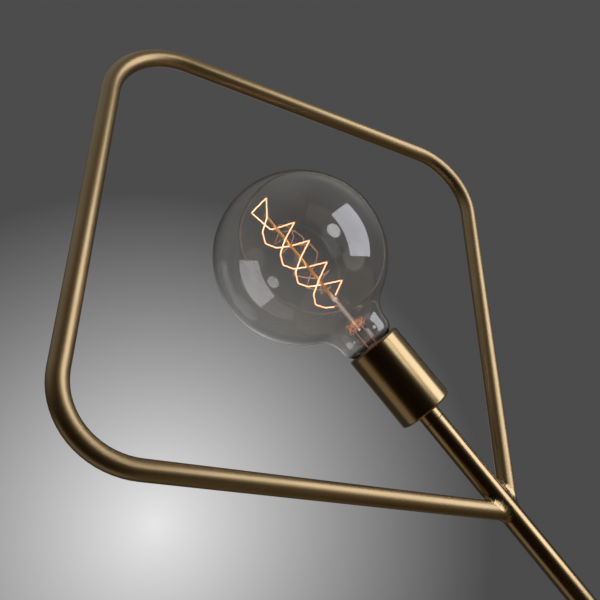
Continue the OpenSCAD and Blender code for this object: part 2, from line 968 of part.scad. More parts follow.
// Glass flare and the flat press on top of it
module bulb_stem() {
    wall = 1;
    wide = stub_r - glass_t - fit;
    color(GLASS)
        in_bulb()
            difference() {
                union() {
                    rotate_extrude()
                        polygon([
                            [wide - wall - 0.4, cap_h - 6], [wide, cap_h - 6], [wide - 1.5, cap_h - 3.5],
                            [6, press_low], [4.6, press_low + 4], [0, press_low + 4],
                            [0, press_low + 1], [4.6, press_low - 1]
                        ]);
                    translate([-press_w / 2, -press_t / 2, press_low + 1])
                        cube([press_w, press_t, press_top - press_low - 1]);
                }
                for (s = [-1, 1])
                    translate([s * wire_off, 0, press_low - 8])
                        cylinder(r = wire_r + fit, h = press_top, $fn = 24);
            }
}

// Glass rod on the press, with the bead where the wires are fused in
module support_rod() {
    thin = 0.6;
    bead = 1.7;
    color(GLASS)
        in_bulb()
            rotate_extrude($fn = 32)
                polygon(concat(
                    [[0, press_top], [thin + 0.6, press_top], [thin, press_top + 1.2]],
                    arc([0, bead_z], bead, -90 + asin(thin / bead), 90 - asin(rod_d / 2 / bead), 8),
                    arc([0, rod_top - rod_d / 2], rod_d / 2, 0, 90, 5)
                ));
}

// Place on a strand, a degrees past its lowest hook: straight to the hooks, round behind them
function strand(a, low) =
    let (
        w = ((a + 540) % 360) - 180,
        flat = abs(w) <= 90,
        x = flat ? fil_r * (1 - abs(w) / 90) : fil_r * cos(w),
        y = flat ? fil_r * w / 90 : fil_r * sin(w)
    )
    [x, y, low + fil_pitch * a / 360 - fil_sag * sin(w)];

// Angles at which a strand is bent, from first to last: at its hooks and at five places behind them
function bends(first, last) = concat(
    [first],
    [for (a = [45 * ceil(first / 45):45:last])
        if (a > first && a < last && (a + 720) % 360 != 45 && (a + 720) % 360 != 315) a],
    [last]
);

// Points of one strand whose lowest hook is at height low, up to last degrees past that hook
function strand_path(low, last) =
    let (step = 18, first = ceil(360 * (fil_low - low) / fil_pitch / step) * step)
    [for (a = bends(first, last)) strand(a, low)];

strand_one = strand_path(fil_hook, 630);
strand_two = strand_path(fil_hook + strand_lag, 468);
corner_one = [0.56 * fil_bridge, 0, fil_top + 0.8];
corner_two = [-0.44 * fil_bridge, 0, fil_top - 0.8];
filament_path = concat(
    strand_one,
    [corner_one, corner_two],
    [for (i = [len(strand_two) - 1:-1:0]) strand_two[i]]
);

// Double spiral filament, one unbroken run folded over two corners at the top
module filament() {
    color(GLOW)
        in_bulb()
            swept(filament_path, fil_d / 2);
}

hook_heights = [for (turn = [0, 1], lag = [0, strand_lag]) fil_hook + turn * fil_pitch + lag];

// Thin wires that hold the filament's hooks off the rod
module support_wires() {
    reach = fil_r - fil_d / 2 - 0.25;
    top = rod_top - 3;
    color(STEEL)
        in_bulb() {
            for (z = hook_heights)
                bar([rod_d / 2, 0, z], [reach, 0, z], 0.2);
            for (p = [corner_one, corner_two]) {
                way_out = unit([p.x, p.y, 0]);
                foot = rod_d / 2 * way_out + [0, 0, top];
                head = p - 0.9 * unit(p - foot);
                bar(foot + 0.1 * unit(head - foot), head, 0.2);
            }
        }
}

// Leads from the press to the filament's two lower ends
module filament_leads() {
    color(COPPER)
        in_bulb()
            for (s = [-1, 1]) {
                end = s > 0 ? strand_one[0] : strand_two[0];
                foot = [s * wire_off, 0, press_top + 1];
                neck = [s * wire_near, 0, press_top + 6];
                knee = [s * wire_near, 0, bead_z - 4];
                tip = end - (fil_d / 2 + 0.25) * unit(end - knee);
                path = [[foot.x, 0, press_low - 4], foot, neck, knee, tip];
                swept(path, wire_r, 6, [1, 0, 0]);
            }
}

ring_r = 4.5;
ring_turns = 2;
ring_pitch = 2.2;
ring_wire = 0.7;
ring_tilt = 2.4;
ring_low = press_top + ring_wire / 2 + 0.3;
ring_path = [
    for (i = [0:24 * ring_turns])
        [ring_r * cos(15 * i), ring_r * sin(15 * i),
            ring_low + ring_pitch * i / 24 + ring_tilt * (1 - cos(15 * i))]
];

// Copper wire wound round the top of the press
module wire_ring() {
    color(COPPER)
        in_bulb()
            swept(ring_path, ring_wire / 2);
}

// The filament's path with three more points on every straight stretch
fine_path = [
    for (i = [0:len(filament_path) - 2], f = [0:0.25:0.75])
        (1 - f) * filament_path[i] + f * filament_path[i + 1]
];

echo(filament_gap = self_gap(fine_path, fil_d, 12), ring_gap = self_gap(ring_path, ring_wire, 12));

base_pad();
base_weight();
base_cover();
bottom_plate();
plate_screws();
foot_washer();
foot_nut();
foot_nipple();
foot_bush();
inlet_bush();
cord_clamp();
clamp_screws();
terminal_block();
terminal_screws();
block_screw();
pole_lower();
lower_joint_bush();
joint_nipple();
upper_joint_bush();
pole_upper();
diamond_frame();
weld_beads();
head_bush();
holder_nipple();
cup_collar();
socket_cup();
holder_cap();
holder_terminals();
holder_screws();
holder_core();
contact_rivets();
centre_contact();
thread_shell();
holder_sleeve();
live_lead();
neutral_lead();
earth_lead();
bulb_glass();
bulb_cap();
cap_insulator();
cap_contact();
bulb_stem();
support_rod();
support_wires();
filament();
filament_leads();
wire_ring();
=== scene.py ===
# %% [markdown]
# # A floor lamp with a diamond of bent tube round a bare globe bulb
#
# The packed CAD model is the fixed frame of this scene: its poles, cup, base and the small
# parts inside are already the right shape and size, in metres, with Z up. This script gives
# each of them a finish, builds finer versions of the glass, the filament and the weld, and
# sets up the camera, the backdrop and the light. Each step is explained before its code.

# %% Load the frame
import math

import bpy
import numpy as np
from mathutils import Matrix, Vector


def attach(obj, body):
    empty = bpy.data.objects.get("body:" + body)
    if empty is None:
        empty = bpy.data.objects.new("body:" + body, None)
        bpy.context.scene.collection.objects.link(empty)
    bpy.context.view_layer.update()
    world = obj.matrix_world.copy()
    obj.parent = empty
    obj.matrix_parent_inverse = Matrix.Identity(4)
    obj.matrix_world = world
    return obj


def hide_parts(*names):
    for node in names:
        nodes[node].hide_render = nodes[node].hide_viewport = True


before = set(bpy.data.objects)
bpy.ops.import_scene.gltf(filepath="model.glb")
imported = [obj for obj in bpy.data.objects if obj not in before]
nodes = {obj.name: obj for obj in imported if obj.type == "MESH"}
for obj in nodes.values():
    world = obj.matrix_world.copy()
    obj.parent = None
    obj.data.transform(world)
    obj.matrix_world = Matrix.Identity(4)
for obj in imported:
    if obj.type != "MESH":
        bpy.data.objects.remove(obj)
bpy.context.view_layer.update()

scene = bpy.context.scene
scene.view_settings.view_transform = "Standard"

# %% [markdown]
# ## The camera
#
# A photographer has stepped close to the head of the lamp and tilted the camera a long way
# over, so the pole runs from corner to corner. A camera that is turned like that is easiest
# to place by its own three directions: right, up and forward are the columns of its matrix.
# The lens and a small shift of the picture set the framing. Depth of field stays off.

# %% Camera
EYE = Vector((-0.3193, -0.37043, 1.24386))
FORWARD = Vector((0.64282, 0.76565, 0.02384)).normalized()
TILT_UP = Vector((0.47432, -0.42228, 0.77246))
RIGHT = FORWARD.cross(TILT_UP).normalized()
UP = RIGHT.cross(FORWARD)
LENS_MM = 40.955
FILM_MM = 36
SHIFT = (-0.0667, 0.0333)
NEAREST = 0.02  # metres from the camera where the picture begins

camera = bpy.data.objects.new("camera", bpy.data.cameras.new("camera"))
scene.collection.objects.link(camera)
camera.matrix_world = Matrix.Translation(EYE) @ Matrix((RIGHT, UP, -FORWARD)).transposed().to_4x4()
camera.data.sensor_width = FILM_MM
camera.data.lens = LENS_MM
camera.data.shift_x = SHIFT[0]
camera.data.shift_y = SHIFT[1]
camera.data.clip_start = NEAREST
scene.camera = camera
print("camera height in mm:", round(1000 * EYE.z), "lens in mm:", LENS_MM)

# %% [markdown]
# ## Nodes written as sums
#
# A material is a small tree of nodes. Placing each node by hand hides what the tree works
# out, so two small classes let the maths read like maths. A Signal wraps an output socket:
# writing `0.3 + 0.1 * grain` adds the Math nodes. A Tree adds any other node in one call that
# takes the node's type, its settings and what goes into its sockets.

# %% Signals and trees
class Signal:
    """An output socket that takes part in sums."""

    def __init__(self, tree, socket):
        self.tree = tree
        self.socket = socket

    def sum_node(self, operation, first, second):
        return self.tree.node("ShaderNodeMath", {"operation": operation}, {0: first, 1: second})

    def __add__(self, other):
        return self.sum_node("ADD", self, other)

    def __radd__(self, other):
        return self.sum_node("ADD", other, self)

    def __sub__(self, other):
        return self.sum_node("SUBTRACT", self, other)

    def __rsub__(self, other):
        return self.sum_node("SUBTRACT", other, self)

    def __mul__(self, other):
        return self.sum_node("MULTIPLY", self, other)

    def __rmul__(self, other):
        return self.sum_node("MULTIPLY", other, self)

    def __pow__(self, other):
        return self.sum_node("POWER", self, other)


class Tree:
    """A node tree that is filled through one method."""

    def __init__(self, owner):
        owner.use_nodes = True
        self.owner = owner
        self.nodes = owner.node_tree.nodes
        self.links = owner.node_tree.links
        self.nodes.clear()

    def node(self, kind, settings, inputs, output=0):
        made = self.nodes.new(kind)
        for key, value in settings.items():
            setattr(made, key, value)
        for key, value in inputs.items():
            if isinstance(value, Signal):
                self.links.new(value.socket, made.inputs[key])
            else:
                made.inputs[key].default_value = value
        return Signal(self, made.outputs[output]) if len(made.outputs) else made

    def finish(self, shader, kind="ShaderNodeOutputMaterial"):
        self.node(kind, {}, {"Surface": shader})
        return self.owner


print("operators:", [m for m in vars(Signal) if m.startswith("__r")])

# %% [markdown]
# ## Helpers for finishes
#
# Nearly every finish here needs the same few things: noise at a given size, a colour that
# wanders between two tones, and a fine relief. Noise is asked for by the size of its lumps
# in millimetres, which is how a maker thinks of a grain. All of them read Object
# coordinates. Every piece sits at the origin, so these are plain metres on the lamp.

# %% Noise, tones and relief
def noise(tree, lump_mm, detail=2.0, stretch=(1, 1, 1)):
    """Noise whose lumps are about lump_mm across, stretched by a factor along each axis."""
    place = tree.node("ShaderNodeTexCoord", {}, {}, "Object")
    if stretch != (1, 1, 1):
        squeeze = tuple(1 / s for s in stretch)
        place = tree.node("ShaderNodeMapping", {}, {"Vector": place, "Scale": squeeze})
    inputs = {"Vector": place, "Scale": 1000 / lump_mm, "Detail": detail}
    return tree.node("ShaderNodeTexNoise", {}, inputs)


def contrast(tree, signal, low, high):
    """The signal stretched so that low becomes 0 and high becomes 1, eased at both ends."""
    return tree.node("ShaderNodeMapRange", {"interpolation_type": "SMOOTHSTEP"},
                     {"Value": signal, "From Min": low, "From Max": high})


def mixed(tree, share, first, second):
    """A colour that goes from first to second as share goes from 0 to 1."""
    return tree.node("ShaderNodeMix", {"data_type": "RGBA"}, {0: share, 6: first, 7: second}, 2)


def tones(tree, share, first, second):
    """The same for two plain colours of three numbers."""
    return mixed(tree, share, (*first, 1), (*second, 1))


def relief(tree, height, depth_mm, strength=1.0):
    """A bump of that depth in millimetres."""
    inputs = {"Height": height, "Distance": depth_mm / 1000, "Strength": strength}
    return tree.node("ShaderNodeBump", {}, inputs)


def principled(tree, name, **inputs):
    """A material with one Principled shader. Keys are socket names with _ for a space."""
    sockets = {key.replace("_", " "): value for key, value in inputs.items()}
    tree.owner.name = name
    return tree.finish(tree.node("ShaderNodeBsdfPrincipled", {}, sockets))


def new_tree():
    """The tree of a new material, which principled names later."""
    return Tree(bpy.data.materials.new("finish"))


print("helpers:", [f.__name__ for f in (noise, contrast, tones, relief, principled)])

# %% [markdown]
# ## Satin brass
#
# The stand is brushed brass under a thin clear lacquer, a little darker than fresh metal.
# Metal has no colour of its own: it shows the room, tinted. So the base colour is the tint
# of the reflection, and the roughness decides how soft the streaks along each tube are.
# The pole and the cup are polished closer than the bent tube, whose streaks are broad and
# soft, so one function makes both finishes from one number. Brushing leaves a fine grain,
# and handling leaves broad, faint clouds in the tint. The coat is the lacquer.

# %% Brass of the stand
def satin_brass(name, softness):
    tree = new_tree()
    grain = noise(tree, 0.9, 1)
    clouds = contrast(tree, noise(tree, 34, 4), 0.3, 0.7)
    specks = contrast(tree, noise(tree, 2.2, 1), 0.62, 0.78)
    tint = tones(tree, clouds, (0.60, 0.430, 0.205), (0.565, 0.398, 0.182))
    return principled(
        tree, name, Metallic=1.0, Base_Color=tint,
        Roughness=softness + 0.03 * grain + 0.02 * clouds + 0.02 * specks,
        Normal=relief(tree, grain, 0.002, 0.08),
        Coat_Weight=1.0, Coat_Roughness=0.2, Coat_IOR=1.5)


SOFTNESS = {"antique_brass": 0.22, "soft_brass": 0.38}
finishes = {name: satin_brass(name, softness) for name, softness in SOFTNESS.items()}
print("finishes so far:", list(finishes))

# %% [markdown]
# ## Finishes of the parts inside
#
# The lamp comes apart: under the base there is a cast iron weight, a plate, a clamp and a
# terminal block, and inside the cup a lampholder. Their finishes are ordinary ones, told
# apart by grain: cast iron is lumpy, plated steel has fine scratches and faint clouds,
# moulded plastic has a slight orange peel, and fired ceramic is nearly smooth. Each line of
# a table holds two tones, the roughness, the size of the grain and its depth in millimetres.
# Copper comes from inside the bulb, where the filament shines on it. A faint light of its
# own stands for that, because the filament of this scene is far dimmer than a real one.

# %% Metals inside
def plain_metal(name, light, dark, roughness, lump_mm, depth_mm, **more):
    tree = new_tree()
    grain = noise(tree, lump_mm, 3)
    clouds = contrast(tree, noise(tree, 14, 3), 0.3, 0.7)
    return principled(
        tree, name, Metallic=1.0, Base_Color=tones(tree, clouds, light, dark),
        Roughness=roughness + 0.1 * grain, Normal=relief(tree, grain, depth_mm), **more)


METALS = {
    "bare_brass": ((0.80, 0.62, 0.30), (0.70, 0.50, 0.22), 0.22, 0.6, 0.01),
    "plated_steel": ((0.62, 0.62, 0.60), (0.50, 0.51, 0.52), 0.28, 0.5, 0.01),
    "nickel": ((0.66, 0.65, 0.62), (0.58, 0.57, 0.54), 0.20, 0.4, 0.006),
}
for name, values in METALS.items():
    finishes[name] = plain_metal(name, *values)
finishes["copper"] = plain_metal(
    "copper", (0.95, 0.47, 0.29), (0.84, 0.36, 0.20), 0.25, 0.3, 0.004,
    Emission_Color=(1.0, 0.40, 0.16, 1), Emission_Strength=0.36)
finishes["pale_copper"] = plain_metal(
    "pale_copper", (0.90, 0.66, 0.56), (0.80, 0.54, 0.44), 0.20, 0.3, 0.004,
    Emission_Color=(1.0, 0.66, 0.54, 1), Emission_Strength=0.26)


def cast_iron():
    tree = new_tree()
    lumps = noise(tree, 1.6, 5)
    rust = contrast(tree, noise(tree, 9, 4), 0.56, 0.72)
    return principled(
        tree, "raw_iron", Metallic=0.75 - 0.6 * rust,
        Base_Color=tones(tree, rust, (0.13, 0.13, 0.135), (0.17, 0.095, 0.06)),
        Roughness=0.5 + 0.25 * lumps, Normal=relief(tree, lumps, 0.18))


finishes["raw_iron"] = cast_iron()
print("metals:", list(finishes))

# %% Plastics, rubber, ceramic and black glass
def moulded(name, light, dark, roughness, lump_mm, depth_mm, **more):
    tree = new_tree()
    grain = noise(tree, lump_mm, 3)
    clouds = contrast(tree, noise(tree, 11, 3), 0.3, 0.7)
    return principled(
        tree, name, Base_Color=tones(tree, clouds, light, dark),
        Roughness=roughness + 0.12 * grain, Normal=relief(tree, grain, depth_mm), **more)


MOULDED = {
    "black_rubber": ((0.020, 0.020, 0.021), (0.032, 0.032, 0.033), 0.62, 0.8, 0.05),
    "black_plastic": ((0.016, 0.015, 0.015), (0.024, 0.022, 0.021), 0.30, 1.2, 0.02),
    "white_ceramic": ((0.80, 0.78, 0.73), (0.74, 0.72, 0.67), 0.16, 2.0, 0.01),
    "black_glass": ((0.010, 0.009, 0.012), (0.016, 0.013, 0.016), 0.05, 1.5, 0.006),
    "lead_brown": ((0.16, 0.075, 0.035), (0.13, 0.060, 0.028), 0.42, 0.7, 0.01),
    "lead_blue": ((0.035, 0.12, 0.42), (0.028, 0.095, 0.36), 0.42, 0.7, 0.01),
}
for name, values in MOULDED.items():
    finishes[name] = moulded(name, *values)
finishes["pale_nylon"] = moulded(
    "pale_nylon", (0.74, 0.72, 0.65), (0.68, 0.66, 0.58), 0.38, 1.0, 0.02,
    Subsurface_Weight=0.1, Subsurface_Scale=0.002)


def striped_lead():
    """Green with yellow bands, as noise that is drawn out along the lead."""
    tree = new_tree()
    bands = noise(tree, 6, 0, (1, 1, 40))
    stripe = contrast(tree, bands, 0.49, 0.51)
    return principled(
        tree, "lead_green", Roughness=0.42 + 0.1 * noise(tree, 0.7),
        Base_Color=tones(tree, stripe, (0.09, 0.34, 0.07), (0.78, 0.62, 0.06)))


finishes["lead_green"] = striped_lead()
print("finishes so far:", len(finishes))

# %% [markdown]
# ## Clear glass
#
# The globe, the press inside its neck and the rod are one family of glass. The globe is
# blown thin and very slightly smoky: what shows behind it is a little darker and warmer.
# Real glass needs two surfaces a wall apart, because the bright and dark lines near its
# outline come from light that runs inside the wall. A faint veil makes its tint wander a
# little. Its index of refraction is above the 1.5 of real glass, for stronger reflections.
# The rod gives off some light, which stands for the filament's light inside it, and its
# orange tint above the bead is painted light from the filament too.

# %% Glass
BEAD_BOTTOM = 1.2685  # heights on the lamp
BEAD_CROWN = 1.2745


def clear_glass():
    tree = new_tree()
    veil = contrast(tree, noise(tree, 40, 3), 0.3, 0.75)
    return principled(
        tree, "clear_glass", Transmission_Weight=0.97, IOR=1.85, Roughness=0.0,
        Base_Color=tones(tree, veil, (0.965, 0.955, 0.94), (0.94, 0.925, 0.905)))


def lit_rod():
    """Glass of the rod with painted glow: deep orange light and tint between the strands, a pale fine
    line of light below the bead.
    """
    tree = new_tree()
    place = tree.node("ShaderNodeTexCoord", {}, {}, "Object")
    height = tree.node("ShaderNodeSeparateXYZ", {}, {"Vector": place}, "Z")
    above = contrast(tree, height, BEAD_BOTTOM, BEAD_CROWN)
    streaks = contrast(tree, noise(tree, 2.2, 2, (1, 1, 4)), 0.35, 0.65)
    # Painted glow: the filament's light on the rod, orange streaks above the bead and pale below it.
    painted_glow = tones(tree, streaks, (0.36, 0.145, 0.028), (0.17, 0.06, 0.010))
    light = mixed(tree, above, (0.50, 0.42, 0.36, 1), painted_glow)
    return principled(
        tree, "rod_glass", Transmission_Weight=1.0, IOR=1.5, Roughness=0.05,
        Base_Color=tones(tree, above, (0.95, 0.93, 0.90), (0.98, 0.74, 0.42)),
        Emission_Color=light, Emission_Strength=0.5)


finishes["clear_glass"] = clear_glass()
finishes["rod_glass"] = lit_rod()
print("finishes so far:", len(finishes))

# %% [markdown]
# ## The glowing filament
#
# The colour of a lit filament is written as light, not as paint. It is strong enough to
# come out nearly white, and it wanders a little along the thread. Towards the sides of the
# thread, where the surface turns away from the camera, it goes over to a deep orange.

# %% Finish of the filament
def glowing():
    tree = new_tree()
    mottle = noise(tree, 2.5, 3)
    rim = tree.node("ShaderNodeLayerWeight", {}, {"Blend": 0.5}, "Facing")
    core = tones(tree, mottle, (1.0, 0.56, 0.36), (1.0, 0.63, 0.43))
    glow = mixed(tree, rim, core, (0.80, 0.20, 0.03, 1))
    return principled(
        tree, "filament", Base_Color=tones(tree, mottle, (0.30, 0.22, 0.16), (0.36, 0.27, 0.20)),
        Roughness=0.6 + 0.1 * mottle, Emission_Color=glow, Emission_Strength=2.7)


finishes["filament"] = glowing()
print("finishes in all:", len(finishes))

# %% [markdown]
# ## Dressing the CAD pieces
#
# Each piece of the frame already carries the name of its finish in its material slot. One
# loop swaps the placeholder for the finish of that name, so no piece can be forgotten. The
# bent tube alone gets another one, the softer of the two brasses.

# %% Finishes on the frame
SOFT_NODES = ("diamond_frame",)
dressed = 0
for name, node in nodes.items():
    for slot in node.material_slots:
        finish = slot.material.name.split(".")[0]
        slot.material = finishes["soft_brass" if name in SOFT_NODES else finish]
        dressed += 1
print("slots dressed:", dressed)

# %% [markdown]
# ## Shapes from rows of points
#
# A turned shape is an outline spun round an axis, and a wire is a circle carried along a
# path. Both are rows of points joined by faces, so one helper joins any two rows, and a
# check of the enclosed volume turns the faces outward. A row of one point closes a tip.

# %% Rows to a mesh
def joined_rows(rows, close_rows=False):
    """Vertices and faces of rows of points. A row of one point is a tip."""
    points, starts = [], []
    for row in rows:
        starts.append(len(points))
        points.extend(row)
    faces = []
    pairs = list(zip(range(len(rows) - 1), range(1, len(rows))))
    if close_rows:
        pairs.append((len(rows) - 1, 0))
    for a, b in pairs:
        na, nb = len(rows[a]), len(rows[b])
        for k in range(max(na, nb)):
            near = [starts[a] + k % na, starts[a] + (k + 1) % na]
            far = [starts[b] + (k + 1) % nb, starts[b] + k % nb]
            ring = list(dict.fromkeys(near + far))
            if len(ring) > 2:
                faces.append(ring)
    return np.array(points, float), faces


def turned_out(points, faces):
    """The faces, turned round if they enclose a negative volume."""
    volume = 0.0
    for face in faces:
        a = points[face[0]]
        for b, c in zip(face[1:-1], face[2:]):
            volume += a @ np.cross(points[b], points[c]) / 6
    return [face[::-1] for face in faces] if volume < 0 else faces


def piece(name, points, faces, finish, body, slot, *stands_for, sharp_deg=50):
    """A finished object of that mesh, which rides on a body and stands for CAD nodes."""
    mesh = bpy.data.meshes.new(name)
    mesh.from_pydata([tuple(p) for p in points], [], turned_out(points, faces))
    mesh.materials.append(finishes[finish])
    placed(name, mesh, body, slot, *stands_for, sharp_deg=sharp_deg)


def placed(name, mesh, body, slot, *stands_for, sharp_deg):
    """An object of a finished mesh, with its body and its CAD nodes. The slot is not used."""
    mesh.shade_smooth()
    mesh.set_sharp_from_angle(angle=math.radians(sharp_deg))
    made = bpy.data.objects.new(name, mesh)
    scene.collection.objects.link(made)
    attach(made, body)
    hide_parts(*stands_for)
    print(name, "faces:", len(mesh.polygons))


# %% [markdown]
# ## The globe
#
# The globe is blown in a mould: a sphere, a hollow curve into the neck, and a short stub
# that is cemented into the screw cap. Spinning the outline of the outer face and, a wall
# inside it, that of the inner face gives one closed shell. Fine steps matter here, because
# every facet of glass shows as a kink in what is seen through it.

# %% Sizes of the bulb
TIP = 1.19499  # height of the bulb's lowest point on the lamp
YAW = math.radians(-41.6)  # how far the bulb is turned in its holder
GLOBE_R = 0.0625
GLOBE_Z = 0.1125  # the globe's middle above the tip
NECK_R = 0.0203
NECK_FILLET = 0.0192  # the hollow curve between globe and neck
WALL = 0.0009
CAP_H = 0.027
CAP_R = 0.0132
STUB_R = 0.0117  # the stub of glass inside the cap
STUB_LOW = CAP_H - 0.007
STUB_TOP = CAP_H - 0.003
SHOULDER = 0.010  # height of the curve from stub to neck
FILLET_Z = GLOBE_Z - math.sqrt((GLOBE_R + NECK_FILLET) ** 2 - (NECK_R + NECK_FILLET) ** 2)


def arc(centre_r, centre_z, radius, start, end, steps):
    """Points (r, z) of an arc between two angles in radians."""
    angles = np.linspace(start, end, steps + 1)
    return [(centre_r + radius * math.cos(a), centre_z + radius * math.sin(a)) for a in angles]


def bulb_place(points):
    """Points of the bulb's own frame, moved to where the bulb stands."""
    points = np.asarray(points, float)
    c, s = math.cos(YAW), math.sin(YAW)
    x, y = points[:, 0], points[:, 1]
    return np.column_stack((c * x - s * y, s * x + c * y, points[:, 2] + TIP))


def full_turn(steps):
    """Angles in even steps over one full turn."""
    return [2 * math.pi * k / steps for k in range(steps)]


def spun(outline, sides):
    """Rows of an outline of (r, z) points spun round the bulb's axis."""
    rows = []
    for r, z in outline:
        turn = full_turn(sides) if r > 0 else [0]
        rows.append(bulb_place([(r * math.cos(a), r * math.sin(a), z) for a in turn]))
    return rows


print("globe in mm:", 2000 * GLOBE_R, "bulb in mm:", 1000 * (GLOBE_Z + GLOBE_R))

# %% Glass globe
GLOBE_SIDES = 192
SHOULDER_ROWS = 17
FILLET_STEPS = 24
BALL_STEPS = 60


def glass_outline(inset):
    """The outline of the glass, moved inward by inset."""
    radius, fillet = GLOBE_R - inset, NECK_FILLET + inset
    meet = math.atan2(FILLET_Z - GLOBE_Z, NECK_R + NECK_FILLET)
    line = [(STUB_R - inset, STUB_LOW), (STUB_R - inset, STUB_TOP)]
    for turn in np.linspace(0, math.pi / 2, SHOULDER_ROWS):
        reach, drop = (NECK_R - STUB_R) * math.sin(turn), (SHOULDER - inset) * math.cos(turn)
        line.append((STUB_R - inset + reach, FILLET_Z - drop))
    line += arc(NECK_R + NECK_FILLET, FILLET_Z, fillet, math.pi, math.pi + meet, FILLET_STEPS)[1:]
    ball = arc(0, GLOBE_Z, radius, meet, math.pi / 2, BALL_STEPS)
    return line + ball[1:-1] + [(0, GLOBE_Z + radius)]


globe_rows = spun(glass_outline(0), GLOBE_SIDES) + spun(glass_outline(WALL)[::-1], GLOBE_SIDES)
globe_points, globe_faces = joined_rows(globe_rows, close_rows=True)
piece("globe", globe_points, globe_faces, "clear_glass", "bulb", "clear_glass", "bulb_glass",
      sharp_deg=60)

# %% [markdown]
# ## Wires along a path
#
# The filament, the wires that hold it, the leads and the copper ring are all wire that
# follows a line. One Geometry Nodes tree makes them: it turns a chain of edges into curves,
# carries a circle along them and closes the ends. The tree ends in Realize Instances and
# Set Material, and its result is then kept as a plain mesh.

# %% Tree that makes wire
def wire_tree():
    """The tree, and the keys of its three inputs on a modifier."""
    group = bpy.data.node_groups.new("wire_along_path", "GeometryNodeTree")
    face = group.interface
    face.new_socket("Geometry", in_out="INPUT", socket_type="NodeSocketGeometry")
    kinds = {"Wire radius": "NodeSocketFloat", "Sides": "NodeSocketInt", "Finish": "NodeSocketMaterial"}
    keys = {}
    for name, kind in kinds.items():
        keys[name] = face.new_socket(name, in_out="INPUT", socket_type=kind).identifier
    face.new_socket("Geometry", in_out="OUTPUT", socket_type="NodeSocketGeometry")
    add, link = group.nodes.new, group.links.new
    source, sink = add("NodeGroupInput"), add("NodeGroupOutput")
    curve, circle = add("GeometryNodeMeshToCurve"), add("GeometryNodeCurvePrimitiveCircle")
    sweep = add("GeometryNodeCurveToMesh")
    real, paint = add("GeometryNodeRealizeInstances"), add("GeometryNodeSetMaterial")
    sweep.inputs["Fill Caps"].default_value = True
    link(source.outputs["Geometry"], curve.inputs["Mesh"])
    link(source.outputs["Sides"], circle.inputs["Resolution"])
    link(source.outputs["Wire radius"], circle.inputs["Radius"])
    link(curve.outputs["Curve"], sweep.inputs["Curve"])
    link(circle.outputs["Curve"], sweep.inputs["Profile Curve"])
    link(sweep.outputs["Mesh"], real.inputs["Geometry"])
    link(real.outputs["Geometry"], paint.inputs["Geometry"])
    link(source.outputs["Finish"], paint.inputs["Material"])
    link(paint.outputs["Geometry"], sink.inputs["Geometry"])
    return group, keys


WIRE_TREE, WIRE_KEYS = wire_tree()
print("inputs of the wire tree:", list(WIRE_KEYS))

# %% Wire as a plain mesh
WIRE_SHARP = 80


def wire_mesh(name, paths, radius, sides, finish):
    """A plain mesh of wire along each path, from the tree."""
    points, edges = [], []
    for path in paths:
        first = len(points)
        points.extend(tuple(p) for p in path)
        edges.extend((first + i, first + i + 1) for i in range(len(path) - 1))
    chain = bpy.data.meshes.new(name + "_path")
    chain.from_pydata(points, edges, [])
    carrier = bpy.data.objects.new(name + "_path", chain)
    scene.collection.objects.link(carrier)
    modifier = carrier.modifiers.new("wire", "NODES")
    modifier.node_group = WIRE_TREE
    modifier[WIRE_KEYS["Wire radius"]] = radius
    modifier[WIRE_KEYS["Sides"]] = sides
    modifier[WIRE_KEYS["Finish"]] = finishes[finish]
    carrier.update_tag()
    bpy.context.view_layer.update()
    evaluated = carrier.evaluated_get(bpy.context.evaluated_depsgraph_get())
    result = bpy.data.meshes.new_from_object(evaluated)
    carrier.modifiers.remove(modifier)
    bpy.data.objects.remove(carrier)
    result.name = name
    return result


def wire_piece(name, paths, radius, sides, finish, slot, *stands_for):
    """A piece of wire in the bulb, along paths in the bulb's own frame."""
    mesh = wire_mesh(name, [bulb_place(path) for path in paths], radius, sides, finish)
    placed(name, mesh, "bulb", slot, *stands_for, sharp_deg=WIRE_SHARP)


# %% [markdown]
# ## The double spiral
#
# The filament is one long thread. It climbs in a slow spiral, folds over at the top, and
# comes down as a second spiral that lags half a turn behind. Support wires pull each turn
# to a sharp hook on one side, and behind them the thread goes round in short straight
# stretches, as thread does that was bent by hand. The formula is the one the CAD solid uses.
# What the mesh adds is the small radius at each bend and a slight unevenness.

# %% Bends of the filament
FIL_R = 0.0129
FIL_PITCH = 0.037
FIL_LOW = 0.0726
FIL_HOOK = 0.0816
STRAND_LAG = 0.017
FIL_SAG = 0.0018
FIRST_STEP = 18  # each strand begins at a multiple of this, in degrees
BEND = 45  # degrees from bend to bend
LAST_ONE = 630  # degrees where each strand ends
LAST_TWO = 468
FIL_TOP = 0.1615
FIL_BRIDGE = 0.0152
BRIDGE_ENDS = (0.56, -0.44)  # the places of its two corners, in shares of its length
BRIDGE_TILT = 0.0008


def strand_point(angle, low):
    """A point of the strand with its lowest hook at height low, angle degrees past that hook."""
    side = ((angle + 540) % 360) - 180
    if abs(side) <= 90:
        x, y = FIL_R * (1 - abs(side) / 90), FIL_R * side / 90
    else:
        x, y = FIL_R * math.cos(math.radians(side)), FIL_R * math.sin(math.radians(side))
    return (x, y, low + FIL_PITCH * angle / 360 - FIL_SAG * math.sin(math.radians(side)))


def strand(low, last):
    """The strand's bends: its hooks, and five places on the way round behind them."""
    first = math.ceil(360 * (FIL_LOW - low) / FIL_PITCH / FIRST_STEP) * FIRST_STEP
    middle = [a for a in range(BEND * math.ceil(first / BEND), last, BEND)
              if a > first and a % 360 not in (BEND, 360 - BEND)]
    return [strand_point(a, low) for a in (first, *middle, last)]


strand_one = strand(FIL_HOOK, LAST_ONE)
strand_two = strand(FIL_HOOK + STRAND_LAG, LAST_TWO)
corner_one = (BRIDGE_ENDS[0] * FIL_BRIDGE, 0, FIL_TOP + BRIDGE_TILT)
corner_two = (BRIDGE_ENDS[1] * FIL_BRIDGE, 0, FIL_TOP - BRIDGE_TILT)
print("bends of the two strands:", len(strand_one), len(strand_two))

